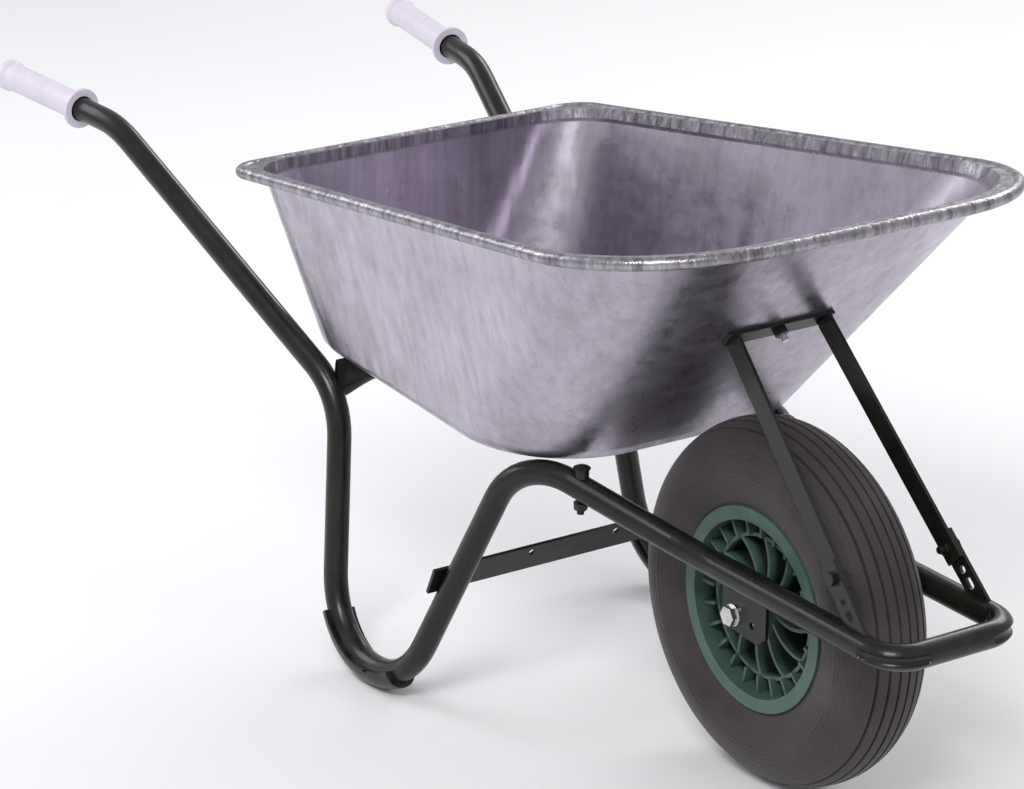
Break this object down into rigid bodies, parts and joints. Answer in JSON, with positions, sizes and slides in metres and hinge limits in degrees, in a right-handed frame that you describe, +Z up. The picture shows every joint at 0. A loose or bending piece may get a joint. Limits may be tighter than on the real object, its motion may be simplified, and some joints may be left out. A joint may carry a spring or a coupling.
{
  "type": "wheelbarrow",
  "caption": "Builder's wheelbarrow: bent tube frame with legs and bumper, pressed steel tray with a rolled rim, moulded grips and a pneumatic wheel that spins on its axle.",
  "frame": {"origin": "on the ground under the middle of the whole barrow's outline", "axes": "+X forwards to the wheel, +Y to the left-hand handle, +Z up"},
  "size_m": [1.4506, 0.6032, 0.6461],
  "materials": {
    "galvanised": "pressed galvanised sheet with a soft spangle",
    "frame_paint": "dark green-black gloss paint",
    "grip": "pale moulded plastic",
    "zinc": "bright zinc plating",
    "tyre": "brown-black rubber with fine ribs",
    "tube_rubber": "soft black rubber",
    "rim": "green moulded plastic",
    "bush": "pale nylon",
    "black_plastic": "black plastic",
    "brass": "plain brass"
  },
  "bodies": {
    "frame": {"tray": "galvanised", "left_frame_tube": "frame_paint", "right_frame_tube": "frame_paint", "left_grip": "grip", "right_grip": "grip", "rear_cross_member": "frame_paint", "leg_brace": "frame_paint", "left_foot_shoe": "frame_paint", "right_foot_shoe": "frame_paint", "left_axle_bracket": "frame_paint", "right_axle_bracket": "frame_paint", "tray_crossbar": "frame_paint", "left_stay": "frame_paint", "right_stay": "frame_paint", "left_stay_tab": "frame_paint", "right_stay_tab": "frame_paint", "rear_floor_bolts": "zinc", "front_floor_bolts": "frame_paint", "front_floor_spacers": "frame_paint", "floor_washers": "frame_paint", "floor_nuts": "frame_paint", "tray_front_bolt": "zinc", "tray_front_nut": "frame_paint", "stay_bolts": "frame_paint", "stay_nuts": "frame_paint", "axle_bolt": "zinc", "axle_nut": "zinc", "axle_washers": "zinc", "axle_spacers": "zinc"},
    "wheel": {"tyre": "tyre", "inner_tube": "tube_rubber", "wheel_rim": "rim", "valve_stem": "brass", "valve_cap": "black_plastic", "hub_bushes": "bush"}
  },
  "joints": [
    {"name": "wheel_spin", "type": "hinge", "parent": "frame", "child": "wheel", "pos_m": [0.44034, 0, 0.2], "axis": [0, 1, 0], "continuous": true}
  ]
}
